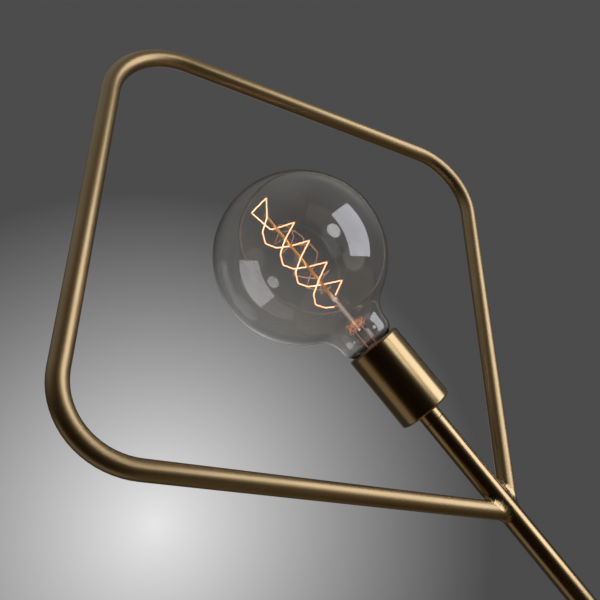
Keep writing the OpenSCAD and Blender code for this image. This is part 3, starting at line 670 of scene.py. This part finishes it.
# %% Thread of the filament
FIL_D = 0.001
BEND_REACH = 0.0011
MOST = 0.45  # the share of a stretch that one bend may take up
THREAD_STEP = 0.0012
UNEVEN = 0.00012


def rounded(points, reach, steps=4):
    """The path with each inner corner eased, from reach before it to reach after it."""
    points = [np.array(p, float) for p in points]
    path = [points[0]]
    for before, corner, after in zip(points, points[1:], points[2:]):
        start = corner + (before - corner) * min(MOST, reach / np.linalg.norm(before - corner))
        end = corner + (after - corner) * min(MOST, reach / np.linalg.norm(after - corner))
        for t in np.linspace(0, 1, steps + 1):
            path.append((1 - t) ** 2 * start + 2 * t * (1 - t) * corner + t ** 2 * end)
    return path + [points[-1]]


def finely(points, step):
    """The path with a point at least every step metres."""
    path = [points[0]]
    for a, b in zip(points, points[1:]):
        n = max(1, math.ceil(np.linalg.norm(b - a) / step))
        path += [a + (b - a) * k / n for k in range(1, n + 1)]
    return path


corners = [*strand_one, corner_one, corner_two, *strand_two[::-1]]
thread = finely(rounded(corners, BEND_REACH), THREAD_STEP)
thread = [p + UNEVEN * np.sin([1.9 * i, 2.3 * i + 1, 1.3 * i + 2]) for i, p in enumerate(thread)]
print("thread in mm:", round(1000 * sum(np.linalg.norm(b - a) for a, b in zip(thread, thread[1:]))))
wire_piece("glowing_thread", [thread], FIL_D / 2, 10, "filament", "filament", "filament")

# %% [markdown]
# ## Hooks, leads and the copper ring
#
# A thin wire runs from the rod to each hook and ends in an eye that the thread lies in.
# Two stouter leads come up through the press and carry the current to the thread's ends. A
# length of copper wire is wound loosely round the top of the press. All three follow paths,
# so the same tree makes them.

# %% Support wires with eyes
ROD_R = 0.0011
ROD_TOP = 0.154
HOOK_WIRE = 0.0002
EYE_R = 0.0009
EYE_STEPS = 14
TOP_WIRES = ROD_TOP - 0.003


def eyed_wire(start, hook):
    """A wire from start to an eye round the hook, with the eye in an upright plane."""
    start, hook = np.array(start, float), np.array(hook, float)
    way = (hook - start) / np.linalg.norm(hook - start)
    up = np.array((0, 0, 1.0)) - way[2] * way
    up /= np.linalg.norm(up)
    eye = [hook - EYE_R * (math.cos(a) * way + math.sin(a) * up) for a in full_turn(EYE_STEPS)]
    return [start] + eye


hook_paths = []
for turn in (0, 1):
    for lag in (0, STRAND_LAG):
        level = FIL_HOOK + turn * FIL_PITCH + lag
        hook_paths.append(eyed_wire((ROD_R, 0, level), (FIL_R, 0, level)))
for corner in (corner_one, corner_two):
    hook_paths.append(eyed_wire((math.copysign(ROD_R, corner[0]), 0, TOP_WIRES), corner))
wire_piece("hook_wires", hook_paths, HOOK_WIRE, 8, "nickel", "nickel", "support_wires")

# %% Leads in the press
WIRE_R = 0.0003
WIRE_OFF = 0.0032
WIRE_NEAR = 0.0013
LEAD_BEND = 0.0012
SHORT_OF_END = 0.0005
PRESS_LOW = 0.029
PRESS_TOP = 0.046
BEAD_Z = 0.0743
lead_paths = []
for side, end in ((1, strand_one[0]), (-1, strand_two[0])):
    end = np.array(end)
    foot = (side * WIRE_OFF, 0, PRESS_LOW - 0.004)
    leaves = (side * WIRE_OFF, 0, PRESS_TOP + 0.001)
    nears = (side * WIRE_NEAR, 0, PRESS_TOP + 0.006)
    knee = np.array((side * WIRE_NEAR, 0, BEAD_Z - 0.004))
    tip = end - SHORT_OF_END * (end - knee) / np.linalg.norm(end - knee)
    lead_paths.append(rounded([foot, leaves, nears, knee, tip], LEAD_BEND))
wire_piece("press_leads", lead_paths, WIRE_R, 10, "pale_copper", "copper", "filament_leads")

# %% Copper wire round the press
RING_R = 0.0062
RING_START = 0.44  # the share of that radius at the wire's first end
RING_TURNS = 5
RING_RISE = 0.0022
RING_TILT = 0.0030
RING_WIRE = 0.00022
RING_LOW = PRESS_TOP + 0.0009
RING_STEPS = 24
STEPS_IN_ALL = RING_STEPS * RING_TURNS
IN_AND_OUT = ((0.0008, 2.3, 1), (0.0005, 5.1, 0))  # waves that keep the winding uneven
TO_AND_FRO = ((0.9, 0.37, 0),)
UP_AND_DOWN = ((0.0006, 3.4, 0),)


def waves(angle, kinds):
    """The sum of sine waves. Each kind has its height, its waves a turn and its start."""
    return sum(height * math.sin(count * angle + start) for height, count, start in kinds)


ring_path = []
for i in range(STEPS_IN_ALL + 1):
    a = 2 * math.pi * i / RING_STEPS
    loose = (RING_R + waves(a, IN_AND_OUT)) * min(1.0, RING_START + a / math.pi)
    lean = RING_TILT * (1 + math.sin(a + waves(a, TO_AND_FRO)))
    level = RING_LOW + RING_RISE * i / STEPS_IN_ALL + lean + waves(a, UP_AND_DOWN)
    ring_path.append((loose * math.cos(a), loose * math.sin(a), level))
wire_piece("copper_ring", [ring_path], RING_WIRE, 8, "copper", "copper", "wire_ring")

# %% [markdown]
# ## The rod and the press
#
# The rod is drawn from the press as a fine stalk, swells into a bead where wires are fused
# in, and goes on as a thicker rod between the strands. It is spun like the globe. The press
# begins as a round flare inside the neck and is pinched flat while it is hot. Its sections
# go from a circle to a long oval, so it is a stack of ovals whose two half widths change.

# %% Rod and bead
THIN_R = 0.00045
BEAD_R = 0.0017
ROD_SIDES = 32
STALK_FOOT = ((0.0006, 0), (0.0002, 0.0006), (0, 0.0016))  # how much wider, at which height
stalk = [(0, PRESS_TOP)] + [(THIN_R + wider, PRESS_TOP + up) for wider, up in STALK_FOOT]
low_turn = -math.pi / 2 + math.asin(THIN_R / BEAD_R)
top_turn = math.pi / 2 - math.asin(ROD_R / BEAD_R)
bead = arc(0, BEAD_Z, BEAD_R, low_turn, top_turn, 16)
rod_end = arc(0, ROD_TOP - ROD_R, ROD_R, 0, math.pi / 2, 8)[:-1] + [(0, ROD_TOP)]
rod_points, rod_faces = joined_rows(spun(stalk + bead + rod_end, ROD_SIDES))
piece("glass_rod", rod_points, rod_faces, "rod_glass", "bulb", "clear_glass", "support_rod")

# %% Press
STUB_IN = STUB_R - WALL - 0.0002  # just inside the stub of the globe
PRESS_W = 0.012
PRESS_T = 0.0046
FLARE_ROWS = 25
FLAT_ROWS = 9
FLARE_LOW = CAP_H - 0.006
FLARE_TOP = PRESS_LOW + 0.006
ROUND_FROM = 0.8  # the share of the flat part where its top edge begins to draw in
ROUND_BY = 0.0009
HOLLOW_R = 0.0096
HOLLOW_LEAST = 0.0002
HOLLOW_TOP = PRESS_LOW + 0.0005
HOLLOW_TIP = PRESS_LOW + 0.001
HOLLOW_ROWS = np.linspace(0.94, 0, 14)  # downward, in shares of its height
OVAL_SIDES = 64


def bowed(share, power):
    """The cosine or sine of an angle, pushed outward, with its sign kept."""
    return math.copysign(abs(share) ** power, share)


def oval(half_x, half_y, level, squareness):
    """A row of points round an oval, from a circle at 0 towards a box at 1."""
    power = 1 - 0.5 * squareness
    turn = full_turn(OVAL_SIDES)
    return bulb_place([(half_x * bowed(math.cos(a), power), half_y * bowed(math.sin(a), power), level)
                       for a in turn])


press_rows = []
for t in np.linspace(0, 1, FLARE_ROWS):
    ease = t * t * (3 - 2 * t)
    half_w = STUB_IN + ease * (PRESS_W / 2 - STUB_IN)
    half_t = STUB_IN + ease * (PRESS_T / 2 - STUB_IN)
    press_rows.append(oval(half_w, half_t, FLARE_LOW + t * (FLARE_TOP - FLARE_LOW), ease))
for t in np.linspace(0, 1, FLAT_ROWS)[1:]:
    shrink = ROUND_BY * (max(0.0, t - ROUND_FROM) / (1 - ROUND_FROM)) ** 2
    level = FLARE_TOP + t * (PRESS_TOP - FLARE_TOP)
    press_rows.append(oval(PRESS_W / 2 - shrink, PRESS_T / 2 - shrink, level, 1))
press_rows.append(bulb_place([(0, 0, PRESS_TOP)]))
inside = [bulb_place([(0, 0, HOLLOW_TIP)])]
for t in HOLLOW_ROWS:
    half_w = HOLLOW_R * (1 - t) ** 0.5 + HOLLOW_LEAST
    half_t = HOLLOW_R * (1 - t) ** 0.75 + HOLLOW_LEAST
    inside.append(oval(half_w, half_t, FLARE_LOW + t * (HOLLOW_TOP - FLARE_LOW), 0))
press_points, press_faces = joined_rows(press_rows + inside, close_rows=True)
piece("glass_press", press_points, press_faces, "clear_glass", "bulb", "clear_glass", "bulb_stem")

# %% [markdown]
# ## The screw cap
#
# Turning the bulb lifts it along this thread, so the ridge has to be a true helix and not a
# stack of rings: the radius depends on the height and on the angle together. Rows of
# points at even heights, each with its own radius at every angle, give that. The ridge fades
# in and out at its ends, as a rolled thread does.

# %% Cap with a rolled thread
CAP_PITCH = 0.003629
RIDGE_LOW = 0.0085
RIDGES = 4
RIDGE_DEPTH = 0.0008
RIDGE_FADE = 0.5  # turns over which the ridge fades in or out
FADE_IN = -0.25  # the turn where the ridge begins
FADE_OUT = RIDGES - 0.6  # and the one where it ends
COLLAR_LOW = CAP_H - 0.0022
COLLAR_EASE = 0.0004
COLLAR_RISE = RIDGE_DEPTH - 0.0001
CAP_LOW = 0.007
CAP_SIDES = 96
CAP_ROWS = 90
CAP_BORE = STUB_R + 0.00005


def cap_radius(level, angle):
    """Outer radius of the cap at a height and an angle."""
    wave = (level - RIDGE_LOW) / CAP_PITCH - angle / (2 * math.pi)
    fade = min(1.0, max(0.0, wave - FADE_IN) / RIDGE_FADE, max(0.0, FADE_OUT - wave) / RIDGE_FADE)
    ridge = RIDGE_DEPTH * fade * (1 - math.cos(2 * math.pi * wave)) / 2
    collar = COLLAR_RISE * min(1.0, max(0.0, level - COLLAR_LOW) / COLLAR_EASE)
    return min(CAP_R - RIDGE_DEPTH + ridge + collar, CAP_R)


def cap_row(level):
    """A row of points round the cap at a height."""
    row = []
    for a in full_turn(CAP_SIDES):
        r = cap_radius(level, a)
        row.append((r * math.cos(a), r * math.sin(a), level))
    return bulb_place(row)


cap_rows = [cap_row(level) for level in np.linspace(CAP_LOW, CAP_H, CAP_ROWS)]
cap_rows += spun([(CAP_BORE, CAP_H), (CAP_BORE, CAP_LOW)], CAP_SIDES)
cap_points, cap_faces = joined_rows(cap_rows, close_rows=True)
piece("rolled_cap", cap_points, cap_faces, "nickel", "bulb", "nickel", "bulb_cap", sharp_deg=40)

# %% [markdown]
# ## The welds
#
# The bent tube is welded to the pole at both its ends. The seam is where a cylinder at 45
# degrees meets the pole, and a formula gives each of its points. A weld bead is a fillet
# along that seam with fine ripples along its length. Every section touches both tubes at
# its toes and is a little hollow between them, so the tubes seem to grow out of each other.
# The second bead is the mirror image of the first.

# %% Seam between tube and pole
POLE_R = 0.0084
TUBE_R = 0.0064
BEAD_GAP = 0.00005
ARM_WAY = np.array((1, 0, 1)) / math.sqrt(2)


def unit(v):
    """The vector at length 1."""
    return v / np.linalg.norm(v)


def seam(a):
    """A point of the line where the bent tube meets the pole, at angle a round the tube."""
    along = math.sqrt(2 * (POLE_R ** 2 - (TUBE_R * math.sin(a)) ** 2)) + TUBE_R * math.cos(a)
    across = math.cos(a) * np.array((-1, 0, 1)) / math.sqrt(2) + math.sin(a) * np.array((0, 1, 0))
    return along * ARM_WAY + TUBE_R * across


def on_pole(q):
    """The point moved straight out or in to the face of the pole."""
    return unit(q * (1, 1, 0)) * (POLE_R + BEAD_GAP) + q * (0, 0, 1)


def on_tube(q):
    """The point moved straight out or in to the face of the bent tube."""
    foot = (q @ ARM_WAY) * ARM_WAY
    return foot + unit(q - foot) * (TUBE_R + BEAD_GAP)


def off_face(heading, own, other):
    """The way square to the seam along one face, away from the other face."""
    way_off = unit(np.cross(heading, own))
    return way_off if way_off @ other > 0 else -way_off


print("seam from the pole's axis in mm:", [round(1000 * seam(a)[0], 1) for a in (0, math.pi)])

# %% Weld beads
WELD_Z = 1.07349
BEAD_REACH = 0.0032
REACH_MIDDLE = 1.25  # the toes lie farther out in the sharp corner of the seam
REACH_SWING = 0.25
HOLLOW = 0.35  # 0 pulls the middle towards the seam, 1 leaves it flat
RIPPLE_H = 0.00006
RIPPLES = ((1, 17, 0), (0.7, 11, 0.87), (0.5, 31, 2))
BEAD_RINGS = 272
BEAD_STEPS = 13
THIRDS = (0.33, 0.67)
BESIDE = 0.01  # radians to each side of a place, for the way the seam runs there


def bead_section(a):
    """A closed row of points round the bead, at angle a round the tube."""
    p = seam(a)
    heading = unit(seam(a + BESIDE) - seam(a - BESIDE))
    pole_out, tube_out = unit(p * (1, 1, 0)), unit(p - (p @ ARM_WAY) * ARM_WAY)
    crown = unit(pole_out + tube_out)
    reach = BEAD_REACH * (REACH_MIDDLE + REACH_SWING * math.cos(a))
    up, along = off_face(heading, pole_out, tube_out), off_face(heading, tube_out, pole_out)
    pole_toe, tube_toe = on_pole(p + reach * up), on_tube(p + reach * along)
    pull = p + HOLLOW * ((pole_toe + tube_toe) / 2 - p)
    ripple = RIPPLE_H * waves(a, RIPPLES)
    section = [p + 2 * BEAD_GAP * crown]
    section += [on_pole(p + f * reach * up) for f in THIRDS]
    for f in np.linspace(0, 1, BEAD_STEPS):
        curve = (1 - f) ** 2 * pole_toe + 2 * f * (1 - f) * pull + f ** 2 * tube_toe
        section.append(curve + ripple * math.sin(math.pi * f) * crown)
    return section + [on_tube(p + f * reach * along) for f in THIRDS[::-1]]


bead_rows = [np.array(bead_section(a)) for a in full_turn(BEAD_RINGS)]
right_points, right_faces = joined_rows(bead_rows, close_rows=True)
right_faces = turned_out(right_points, right_faces)
left_points = right_points * (-1, 1, 1)
left_faces = [[i + len(right_points) for i in face[::-1]] for face in right_faces]
both = np.vstack((right_points, left_points)) + (0, 0, WELD_Z)
piece("weld_fillets", both, right_faces + left_faces, "antique_brass", "stand", "antique_brass",
      "weld_beads", sharp_deg=75)

# %% [markdown]
# ## The backdrop
#
# The photograph was taken against grey paper with one lamp throwing a soft pool of light on
# it. The world stands for that paper: its brightness falls with the angle from the middle of
# the pool, down to an even dark grey. The camera sees it, and so do rays through glass that
# aren't bent too far from its line of sight. Metal sees that paper dimmer and the darker room
# behind the photographer, with a soft glow on the wall above the softbox and a dim ceiling.
# Everything else gets a plain even fill. The world isn't sampled as a lamp, because that
# would let its even fill into the metal too.

# %% Paper with its pool of light
POOL_X = -185  # pixels to the right of the lens axis
POOL_Y = -205  # pixels above it
FOCAL_PIXELS = 682.6
POOL_WAY = (FOCAL_PIXELS * FORWARD + POOL_X * RIGHT + POOL_Y * UP).normalized()
POOL_REACH = math.radians(26.5)
GREY = 0.302
POOL_RISE = 0.60
GAMMA = 2.2

world = bpy.data.worlds.new("studio")
scene.world = world
world.cycles.sampling_method = "NONE"
sky = Tree(world)
way = sky.node("ShaderNodeTexCoord", {}, {}, "Generated")


def towards(direction):
    """The cosine of the angle between the ray and a direction."""
    inputs = {0: way, 1: tuple(direction)}
    return sky.node("ShaderNodeVectorMath", {"operation": "DOT_PRODUCT"}, inputs, "Value")


off_pool = sky.node("ShaderNodeMath", {"operation": "ARCCOSINE"}, {0: towards(POOL_WAY)})
ends = {"Value": off_pool, "From Min": POOL_REACH, "From Max": 0.0}
closeness = sky.node("ShaderNodeMapRange", {}, ends)
paper = (GREY + POOL_RISE * closeness) ** GAMMA
print("pool of light towards", [round(x, 2) for x in POOL_WAY])

# %% What each kind of ray sees
ROOM = 0.006
PAPER_IN_METAL = 0.45
FILL = 0.45
WALL_WAY = Vector((0.78, -0.36, 0.51)).normalized()
WALL_GLOW = 0.10
WALL_EDGE = (0.58, 0.98)  # the cosines where the glow begins and where it is full
CEILING_GLOW = 0.16
CEILING_EDGE = (0.55, 0.95)
METAL_EDGE = (-0.75, 0.1)
GLASS_EDGE = (-0.4, 0.55)
WHITE = (1, 1, 1)
ROOM_TINT = (1, 0.5, 0.2)

ahead = contrast(sky, towards(FORWARD), *METAL_EDGE)
wall = contrast(sky, towards(WALL_WAY), *WALL_EDGE)
ceiling = contrast(sky, towards((0, 0, 1)), *CEILING_EDGE)
in_front = ahead * (PAPER_IN_METAL * paper - ROOM)
metal_room = ROOM + in_front + WALL_GLOW * wall + CEILING_GLOW * ceiling
from_camera = sky.node("ShaderNodeLightPath", {}, {}, "Is Camera Ray")
from_metal = sky.node("ShaderNodeLightPath", {}, {}, "Is Glossy Ray")
in_glass = sky.node("ShaderNodeLightPath", {}, {}, "Is Transmission Ray")
straight = contrast(sky, towards(FORWARD), *GLASS_EDGE)
through_glass = ROOM + straight * (paper - ROOM)
other = from_metal * metal_room + (1 - from_metal) * FILL
strength = from_camera * paper + in_glass * through_glass
strength = strength + (1 - from_camera) * (1 - in_glass) * other
dark_room = from_metal * (1 - ahead) * (1 - wall) * (1 - ceiling)
tint = tones(sky, dark_room, WHITE, ROOM_TINT)
shine = sky.node("ShaderNodeBackground", {}, {"Color": tint, "Strength": strength})
sky.finish(shine, "ShaderNodeOutputWorld")
print("nodes in the world:", len(sky.nodes))

# %% [markdown]
# ## The floor
#
# A plain pale floor carries the lamp and takes its shadow. It is a wide disc whose edge
# fades out, so that no hard line shows where it meets the backdrop. What the brass mirrors of
# it is a painted reflection, darker than the floor itself, with painted shade that makes it
# darkest and warmest close to the lamp and at the rim, which shapes the underside of the bent tube.

# %% Floor
FLOOR_R = 1.72
FADE = 0.5
FLOOR_SIDES = 96
NEAR_LAMP = (0.15, 1.25)  # distances in metres over which the mirrored floor grows lighter
NEAR_RIM = (1.55, 1.15)
rings = [[(0, 0, 0)]]
for radius in np.linspace(0.1, FLOOR_R, 18):
    turn = full_turn(FLOOR_SIDES)
    rings.append([(radius * math.cos(a), radius * math.sin(a), 0) for a in turn])
floor_points, floor_faces = joined_rows(rings)
floor_mesh = bpy.data.meshes.new("floor")
floor_mesh.from_pydata([tuple(p) for p in floor_points], [], floor_faces)
floor = bpy.data.objects.new("floor", floor_mesh)
scene.collection.objects.link(floor)

tree = new_tree()
place = tree.node("ShaderNodeTexCoord", {}, {}, "Object")
away = tree.node("ShaderNodeVectorMath", {"operation": "LENGTH"}, {0: place}, "Value")
solid = contrast(tree, away, FLOOR_R, FLOOR_R - FADE)
mottle = noise(tree, 60, 3)
pale = tones(tree, mottle, (0.60, 0.59, 0.575), (0.64, 0.63, 0.615))
# Painted reflection: glossy rays see a darker floor colour of their own, with painted shade near the
# lamp and the rim.
in_metal = tree.node("ShaderNodeLightPath", {}, {}, "Is Glossy Ray")
lighter = contrast(tree, away, *NEAR_LAMP) * contrast(tree, away, *NEAR_RIM)
mirrored = tones(tree, lighter, (0.055, 0.042, 0.024), (0.21, 0.175, 0.12))
floor_mesh.materials.append(principled(
    tree, "pale_floor", Base_Color=mixed(tree, in_metal, pale, mirrored),
    Roughness=0.6 + 0.1 * mottle, Specular_IOR_Level=0.0, Alpha=solid))
print("floor across in m:", 2 * FLOOR_R)

# %% [markdown]
# ## The lights
#
# The two bright patches on the globe tell where the lamps stood: one upright softbox to the
# right of the camera and a round lamp nearer to it. The same softbox draws the bright streak
# down every tube. A wide, dim panel on the other side gives the brown stripe near each
# tube's left edge, and a weak bounce from below softens the lower edge of the main streak.
# A lamp's power is worked out from how bright its face should look.

# %% Lights
BULB_MIDDLE = Vector((0, 0, TIP + GLOBE_Z))
FACE_WATTS = 4  # watts for a square metre of face at brightness 1


def panel(name, way, distance, width, height, brightness, shape="RECTANGLE", colour=(1, 1, 1)):
    """An area lamp that stands that way from the globe and faces it."""
    data = bpy.data.lights.new(name, "AREA")
    data.shape = shape
    data.size = width
    data.size_y = height
    data.color = colour
    area = width * height if shape == "RECTANGLE" else math.pi * width * height / 4
    data.energy = FACE_WATTS * area * brightness
    lamp = bpy.data.objects.new(name, data)
    scene.collection.objects.link(lamp)
    way = Vector(way).normalized()
    lamp.location = BULB_MIDDLE + distance * way
    lamp.rotation_euler = way.to_track_quat("Z", "Y").to_euler()
    lamp.visible_camera = False
    print(name, "at", [round(x, 2) for x in lamp.location], "watts:", round(data.energy, 1))


panel("key_softbox", (0.677, -0.713, -0.22), 1.5, 1.0, 1.40, 1.32, colour=(1.0, 1.01, 1.1))
panel("round_lamp", (0.245, -0.967, -0.061), 1.5, 0.43, 0.43, 1.40, "ELLIPSE")
panel("left_panel", (-0.90, 0.40, -0.2), 1.6, 0.85, 2.0, 0.15, colour=(1.0, 0.88, 0.74))
panel("low_bounce", (0.40, -0.68, -0.61), 1.2, 0.75, 0.60, 0.20, "ELLIPSE", colour=(1.0, 0.95, 0.86))

# %% [markdown]
